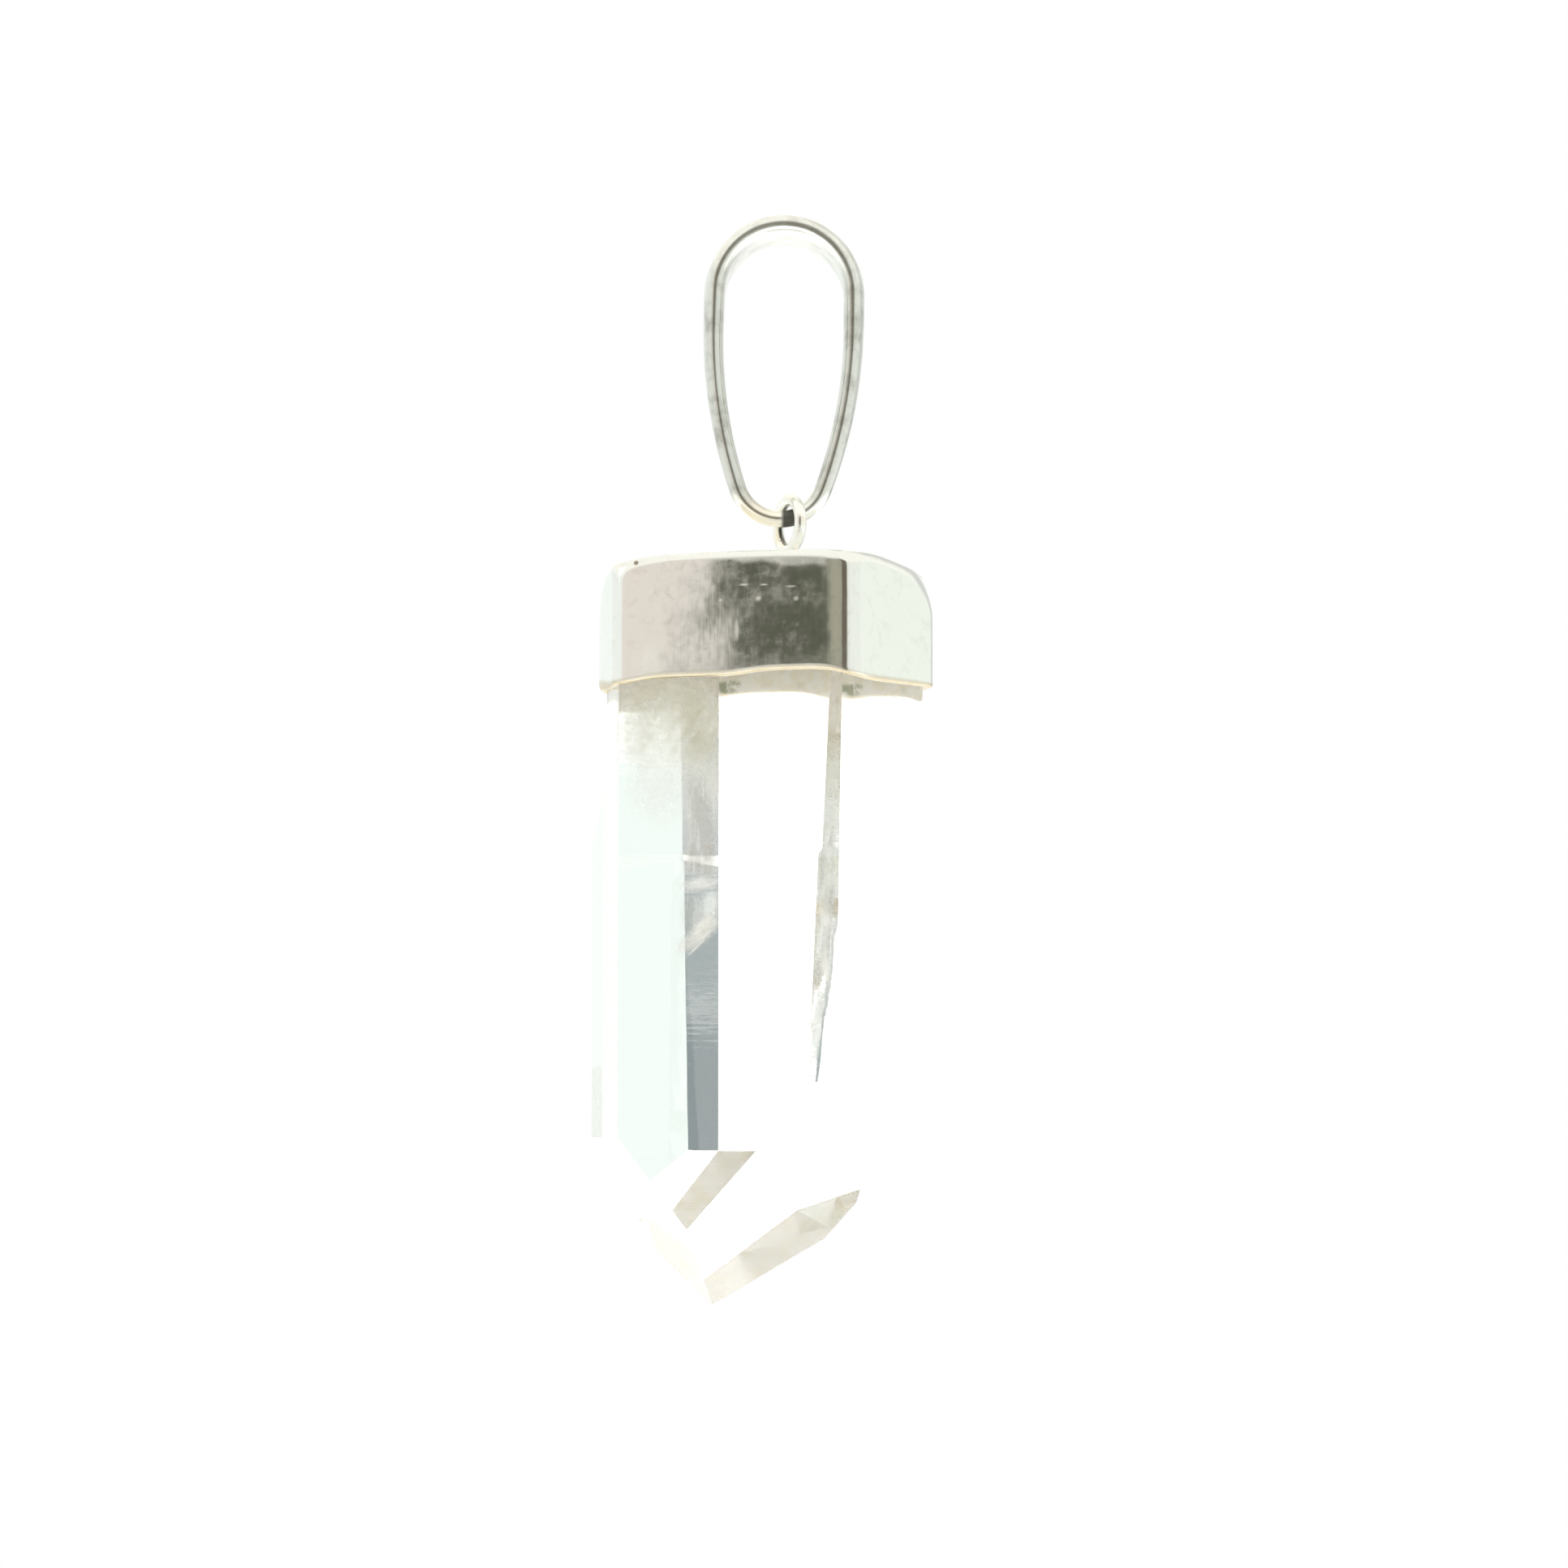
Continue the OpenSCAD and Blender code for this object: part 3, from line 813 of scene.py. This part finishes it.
def ringTree():
    tree = bpy.data.node_groups.new("wireRing", "GeometryNodeTree")
    for name, kind in (("Mound", "Geometry"), ("Ring radius", "Float"), ("Wire radius", "Float"),
                       ("Turn", "Float"), ("Centre", "Vector"), ("Finish", "Material")):
        tree.interface.new_socket(name, in_out="INPUT", socket_type="NodeSocket" + kind)
    tree.interface.new_socket("Ring", in_out="OUTPUT", socket_type="NodeSocketGeometry")
    bench = Bench(tree)
    given = bench.add("NodeGroupInput")
    path = bench.add("GeometryNodeCurvePrimitiveCircle", {}, {
        "Resolution": 96, "Radius": given["Ring radius"]})[0]
    section = bench.add("GeometryNodeCurvePrimitiveCircle", {}, {
        "Resolution": 32, "Radius": given["Wire radius"]})[0]
    wire = bench.add("GeometryNodeCurveToMesh", {}, {"Curve": path, "Profile Curve": section})[0]
    turned = bench.add("ShaderNodeCombineXYZ", {}, {0: 0.0, 1: math.pi / 2, 2: given["Turn"]})[0]
    placed = bench.add("GeometryNodeTransform", {}, {
        "Geometry": wire, "Translation": given["Centre"], "Rotation": turned})[0]
    joined = bench.add("GeometryNodeJoinGeometry")
    tree.links.new(placed.socket, joined.node.inputs[0])
    tree.links.new(given["Mound"].socket, joined.node.inputs[0])
    real = bench.add("GeometryNodeRealizeInstances", {}, {"Geometry": joined[0]})[0]
    done = bench.add("GeometryNodeSetMaterial", {}, {
        "Geometry": real, "Material": given["Finish"]})[0]
    bench.add("NodeGroupOutput", {}, {"Ring": done})
    return tree


def makeSolder():  # a lump with a thin skirt that has run out over the top
    shape = bmesh.new()
    foot = Vector((ring["centre"][0], 0, cap["topZ"] - ring["solderSink"] * 0.8))
    up = Vector((0, 0, ring["solderHeight"]))
    steps, around = ring["solderRows"], ring["solderAround"]
    rows = []
    for k in range(steps):
        t = k / steps
        radius = ring["solderRadius"] * (1 - t) ** 0.5 + ring["flare"] * (1 - t) ** 5
        level = (ring["solderHeight"] * t + ring["solderSink"] * 0.2) * 1.5
        row = []
        for i in range(around):
            a = 2 * math.pi * i / around
            out = Vector((math.cos(a), math.sin(a), 0))
            wobble = 1 + ring["wobble"] * noise.noise(out * 1.4 + Vector((0, 0, level)))
            row.append(shape.verts.new((foot + out * radius * wobble + up * t) * mm))
        rows.append(row)
    for lower, upper in zip(rows, rows[1:]):
        for i in range(around):
            j = (i + 1) % around
            shape.faces.new((lower[i], lower[j], upper[j], upper[i]))
    tip = shape.verts.new((foot + up) * mm)
    for i in range(around):
        shape.faces.new((rows[-1][i], rows[-1][(i + 1) % around], tip))
    shape.faces.new(list(reversed(rows[0])))
    bmesh.ops.recalc_face_normals(shape, faces=shape.faces[:])
    return shape


def makeRing():
    material = solderMaterial()
    piece = newPiece("ringAndSolder", makeSolder(), material)
    growBy(piece, ringTree(), {
        "Ring radius": ring["radius"] * mm, "Wire radius": ring["wire"] * mm,
        "Turn": math.radians(ring["turn"]), "Centre": inMetres(ring["centre"]),
        "Finish": material})
    skin = piece.modifiers.new("skin", "REMESH")
    skin.mode, skin.voxel_size, skin.use_smooth_shade = "VOXEL", ring["skin"] * mm, True
    run = piece.modifiers.new("run", "SMOOTH")
    run.factor, run.iterations = ring["smoothing"], ring["smoothTurns"]
    piece = settle(piece)
    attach(piece, "drop")
    print("ring made")


makeRing()

# The stone: the solid's own faces with softened edges and small chips
stone = {
    "edge": 0.035,                        # mm, width of the worn edges
    "edgeAngle": 12,                      # degrees; flatter meetings stay sharp
    "flat": 0.4,                          # degrees; faces that meet flatter than this are one
    # chips on the edges: place and radius in mm
    "chips": [((5.02, -3.72, -36.75), 0.34), ((5.08, -3.80, -37.35), 0.24),
              ((2.17, -6.68, -41.9), 0.28), ((-7.30, -4.44, -33.2), 0.22)],
    "chipWaves": 4, "chipDepth": 0.03,    # waves a mm, and mm
}


def makeStone():
    shape = bmesh.new()
    shape.from_mesh(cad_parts["crystal"].data)
    bmesh.ops.remove_doubles(shape, verts=shape.verts[:], dist=1e-6)
    bmesh.ops.dissolve_limit(shape, angle_limit=math.radians(stone["flat"]),
                             verts=shape.verts[:], edges=shape.edges[:])
    piece = newPiece("stone", shape, quartzMaterial(), smooth=False)
    worn = piece.modifiers.new("wornEdges", "BEVEL")
    worn.width, worn.segments = stone["edge"] * mm, 2
    worn.limit_method, worn.angle_limit = "ANGLE", math.radians(stone["edgeAngle"])
    piece = settle(piece)
    bites = bmesh.new()
    for place, radius in stone["chips"]:
        bmesh.ops.create_icosphere(bites, subdivisions=3, radius=radius * mm,
                                   matrix=Matrix.Translation(Vector(place) * mm))
    for vert in bites.verts:
        shake = Vector(noise.noise_vector(vert.co / mm * stone["chipWaves"]))
        vert.co += shake * stone["chipDepth"] * mm
    cutter = newPiece("bites", bites, piece.data.materials[0], smooth=False)
    chipped = piece.modifiers.new("chips", "BOOLEAN")
    chipped.operation, chipped.solver, chipped.object = "DIFFERENCE", "EXACT", cutter
    piece = settle(piece)
    bpy.data.objects.remove(cutter)
    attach(piece, "drop")
    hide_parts("crystal")
    print("stone made")


makeStone()

# What has grown inside the stone: thin clouded sheets behind its front face, healed cracks and
# specks, and one pale sheet of painted light over the stone's right strip. Places are in mm,
# measured along the front face, up, and in behind it.
veils = {
    "front": (-13.5, 5.0),                # azimuth of the face, distance from the cap's upright
    "points": 21, "bend": 0.12, "bendScale": 700,
    "slant": 56,                          # degrees that the upper streaks lean
    "leaningSize": (450, 900, 2600), "uprightSize": (3300, 900, 420),
    "leanAbove": (-25.5, -23.5),          # the streaks stand upright below this
    "streak": (1.0, 1.0, 0.97), "stain": (0.30, 0.26, 0.18),
    "roughness": 0.6, "glow": (0.98, 0.97, 0.93), "glowShare": 0.35,
    "tints": {
        "cloud": (0.83, 0.84, 0.73), "tan": (0.87, 0.79, 0.64), "brown": (0.64, 0.55, 0.46),
        "pale": (0.94, 0.97, 0.92), "greige": (0.82, 0.82, 0.76), "smoke": (0.36, 0.36, 0.33),
        "rust": (0.75, 0.55, 0.43), "white": (1.0, 1.0, 0.98),
        # the next colour is for the sheet of painted light over the stone's right strip
        "haze": (0.60, 0.63, 0.57), "ice": (0.92, 1.0, 1.0), "lavender": (0.84, 0.85, 0.90),
        "straw": (0.98, 0.96, 0.76),
    },
    "sheets": [
        # along, up, in, half width, half height, turn, tint, density
        (-0.89, -21.50, 0.90, 2.45, 2.0, 0, "cloud", 0.95),
        (-2.16, -22.46, 0.70, 1.35, 2.1, 12, "cloud", 0.80),
        (0.60, -22.36, 1.10, 1.1, 2.5, 0, "cloud", 0.95),
        (-1.91, -20.83, 0.50, 1.60, 0.70, 8, "tan", 0.55),
        (0.30, -21.30, 0.60, 1.70, 1.30, -6, "tan", 0.35),
        (0.70, -22.73, 0.80, 1.20, 1.50, -10, "brown", 0.32),
        (-1.30, -24.66, 1.20, 1.85, 2.35, 0, "pale", 0.45),
        (1.30, -24.63, 0.95, 0.80, 1.60, -14, "greige", 0.70),
        (0.61, -26.39, 1.00, 0.95, 2.30, 0, "smoke", 0.80),
        (0.99, -27.55, 0.70, 0.21, 0.35, 0, "rust", 0.55),
        (0.18, -25.93, 0.80, 0.20, 2.10, 2, "smoke", 0.60),
        (0.28, -28.05, 0.55, 0.58, 0.95, 0, "smoke", 0.85),
        (1.00, -28.10, 0.50, 0.65, 0.95, 0, "smoke", 0.85),
        (0.10, -22.60, 0.95, 2.00, 2.70, 0, "cloud", 0.75),
        # painted light: a long pale sheet over the stone's right strip, not a grown veil
        (6.18, -29.20, 0.45, 0.66, 9.20, -2.4, "haze", 0.42),
        (0.61, -29.04, 0.60, 1.20, 0.45, 10, "white", 0.85),
        (1.08, -29.95, 0.70, 0.55, 1.00, 0, "ice", 0.90),
        (0.25, -30.20, 0.95, 0.70, 1.05, 0, "smoke", 0.55),
        (0.61, -31.15, 0.60, 1.50, 0.62, 43, "greige", 0.95),
        (0.75, -30.80, 0.50, 1.00, 0.26, 48, "white", 0.85),
        (0.80, -31.35, 0.40, 0.95, 0.06, 42, "white", 0.90),
        (0.55, -31.72, 0.40, 0.80, 0.05, 42, "white", 0.90),
        (-3.32, -23.43, 0.35, 0.25, 2.70, 1, "lavender", 0.55),
        (6.38, -21.89, 0.80, 0.50, 0.76, 0, "tan", 0.28),
        (2.99, -21.38, 0.90, 1.43, 0.42, 0, "pale", 0.50),
        (8.39, -22.29, 0.80, 0.64, 0.69, 20, "pale", 0.40),
        (4.32, -27.56, 0.80, 0.21, 0.10, -40, "straw", 0.60),
        (4.11, -26.49, 0.80, 0.14, 0.21, 10, "pale", 0.60),
        (5.38, -28.44, 0.80, 0.18, 0.14, 60, "greige", 0.60),
        (7.32, -30.12, 0.80, 0.14, 0.24, 20, "greige", 0.60),
        (3.82, -24.16, 0.80, 0.21, 0.17, 0, "pale", 0.60),
        (4.71, -25.73, 0.80, 0.18, 0.10, 0, "straw", 0.40),
    ],
}


def veilMaterial():
    material, bench, place = newMaterial("veil")
    across = bench.attribute("across", "Vector")
    tint = bench.attribute("tint", "Color")
    density = bench.attribute("body")
    axes = bench.split(place)
    x, y, z = axes[0], axes[1], axes[2]
    slant = math.radians(veils["slant"])
    along = x * math.cos(slant) + z * math.sin(slant)
    over = z * math.cos(slant) - x * math.sin(slant)
    turned = bench.add("ShaderNodeCombineXYZ", {}, {0: along, 1: y, 2: over})[0]
    diagonal = bench.noise(bench.stretched(turned, veils["leaningSize"]), 1, 3, 0.6)
    vertical = bench.noise(bench.stretched(place, veils["uprightSize"]), 1, 3, 0.6)
    high = z.step(*inMetres(veils["leanAbove"]))
    streak = vertical + (diagonal - vertical) * high
    mottle = bench.noise(place, 4200, 4, 0.65)
    cloudy = bench.noise(place, 900, 4, 0.65)
    edge = bench.vector("LENGTH", across)["Value"] + (cloudy - 0.5) * 0.6
    body = 1 - edge.step(0.25, 1.0)
    shade = bench.mix(streak.step(0.48, 0.66) * 0.7, tint, veils["streak"])
    dusk = bench.mix(0.5, tint, veils["stain"])
    shade = bench.mix(mottle.step(0.50, 0.72) * 0.25, shade, dusk)
    cover = body * density * (0.75 + mottle.step(0.3, 0.65) * 0.25)
    thin = bench.add("ShaderNodeBsdfPrincipled", {}, {
        "Base Color": shade, "Roughness": veils["roughness"], "Specular IOR Level": 0.1})[0]
    through = bench.add("ShaderNodeBsdfTranslucent", {}, {"Color": veils["glow"]})[0]
    sheet = bench.add("ShaderNodeMixShader", {}, {
        0: veils["glowShare"], 1: thin, 2: through})[0]
    clear = bench.add("ShaderNodeBsdfTransparent", {}, {"Color": (1, 1, 1)})[0]
    finishMaterial(bench, bench.add("ShaderNodeMixShader", {}, {0: cover, 1: clear, 2: sheet})[0])
    return material


def veilTree():
    tree = bpy.data.node_groups.new("veilSheets", "GeometryNodeTree")
    for name, kind in (("Spots", "Geometry"), ("Points", "Int"), ("Bend", "Float"),
                       ("Bend scale", "Float"), ("Outward", "Vector"), ("Finish", "Material")):
        tree.interface.new_socket(name, in_out="INPUT", socket_type="NodeSocket" + kind)
    tree.interface.new_socket("Sheets", in_out="OUTPUT", socket_type="NodeSocketGeometry")
    bench = Bench(tree)
    given = bench.add("NodeGroupInput")
    grid = bench.add("GeometryNodeMeshGrid", {}, {
        "Size X": 2.0, "Size Y": 2.0, "Vertices X": given["Points"],
        "Vertices Y": given["Points"]})["Mesh"]
    own = bench.add("GeometryNodeInputPosition")[0]
    marked = bench.add("GeometryNodeStoreNamedAttribute", {"data_type": "FLOAT_VECTOR"}, {
        "Geometry": grid, "Name": "across", "Value": own})[0]

    def named(name):
        return bench.add("GeometryNodeInputNamedAttribute", {"data_type": "FLOAT_VECTOR"},
                         {"Name": name})["Attribute"]

    placed = bench.add("GeometryNodeInstanceOnPoints", {}, {
        "Points": given["Spots"], "Instance": marked, "Rotation": named("turning"),
        "Scale": named("extent")})[0]
    real = bench.add("GeometryNodeRealizeInstances", {}, {"Geometry": placed})[0]
    here = bench.add("GeometryNodeInputPosition")[0]
    # the same waves at every depth, so that no two sheets cross
    deep = bench.vector("DOT_PRODUCT", here, given["Outward"])["Value"]
    flat = bench.vector("SUBTRACT", here, bench.scaled(given["Outward"], deep))[0]
    wave = bench.add("ShaderNodeTexNoise", {}, {
        "Vector": flat, "Scale": given["Bend scale"]})[0] - 0.5
    push = bench.scaled(given["Outward"], wave * given["Bend"])
    bent = bench.add("GeometryNodeSetPosition", {}, {"Geometry": real, "Offset": push})[0]
    smooth = bench.add("GeometryNodeSetShadeSmooth", {}, {"Geometry": bent})[0]
    done = bench.add("GeometryNodeSetMaterial", {}, {
        "Geometry": smooth, "Material": given["Finish"]})[0]
    bench.add("NodeGroupOutput", {}, {"Sheets": done})
    return tree


def makeVeils():
    azimuth, distance = veils["front"]
    outward = faceNormal(azimuth)
    along = Vector((-outward.y, outward.x))
    shape = bmesh.new()
    turning = shape.verts.layers.float_vector.new("turning")
    extent = shape.verts.layers.float_vector.new("extent")
    tint = shape.verts.layers.float_color.new("tint")
    density = shape.verts.layers.float.new("body")
    for u, z, deep, wide, high, turn, tintName, strength in veils["sheets"]:
        place = Vector(cap["axis"]) + outward * (distance - deep) + along * u
        vert = shape.verts.new(Vector((place.x, place.y, z)) * mm)
        vert[turning] = Vector((math.pi / 2, -math.radians(turn), math.radians(azimuth)))
        vert[extent] = Vector((wide * mm, high * mm, mm))
        vert[tint] = Vector((*veils["tints"][tintName], 1))
        vert[density] = strength
    material = veilMaterial()
    piece = newPiece("veils", shape, material)
    growBy(piece, veilTree(), {
        "Points": veils["points"], "Bend": veils["bend"] * mm, "Bend scale": veils["bendScale"],
        "Outward": (outward.x, outward.y, 0), "Finish": material})
    piece = settle(piece)
    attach(piece, "drop")
    print("veils made")


makeVeils()
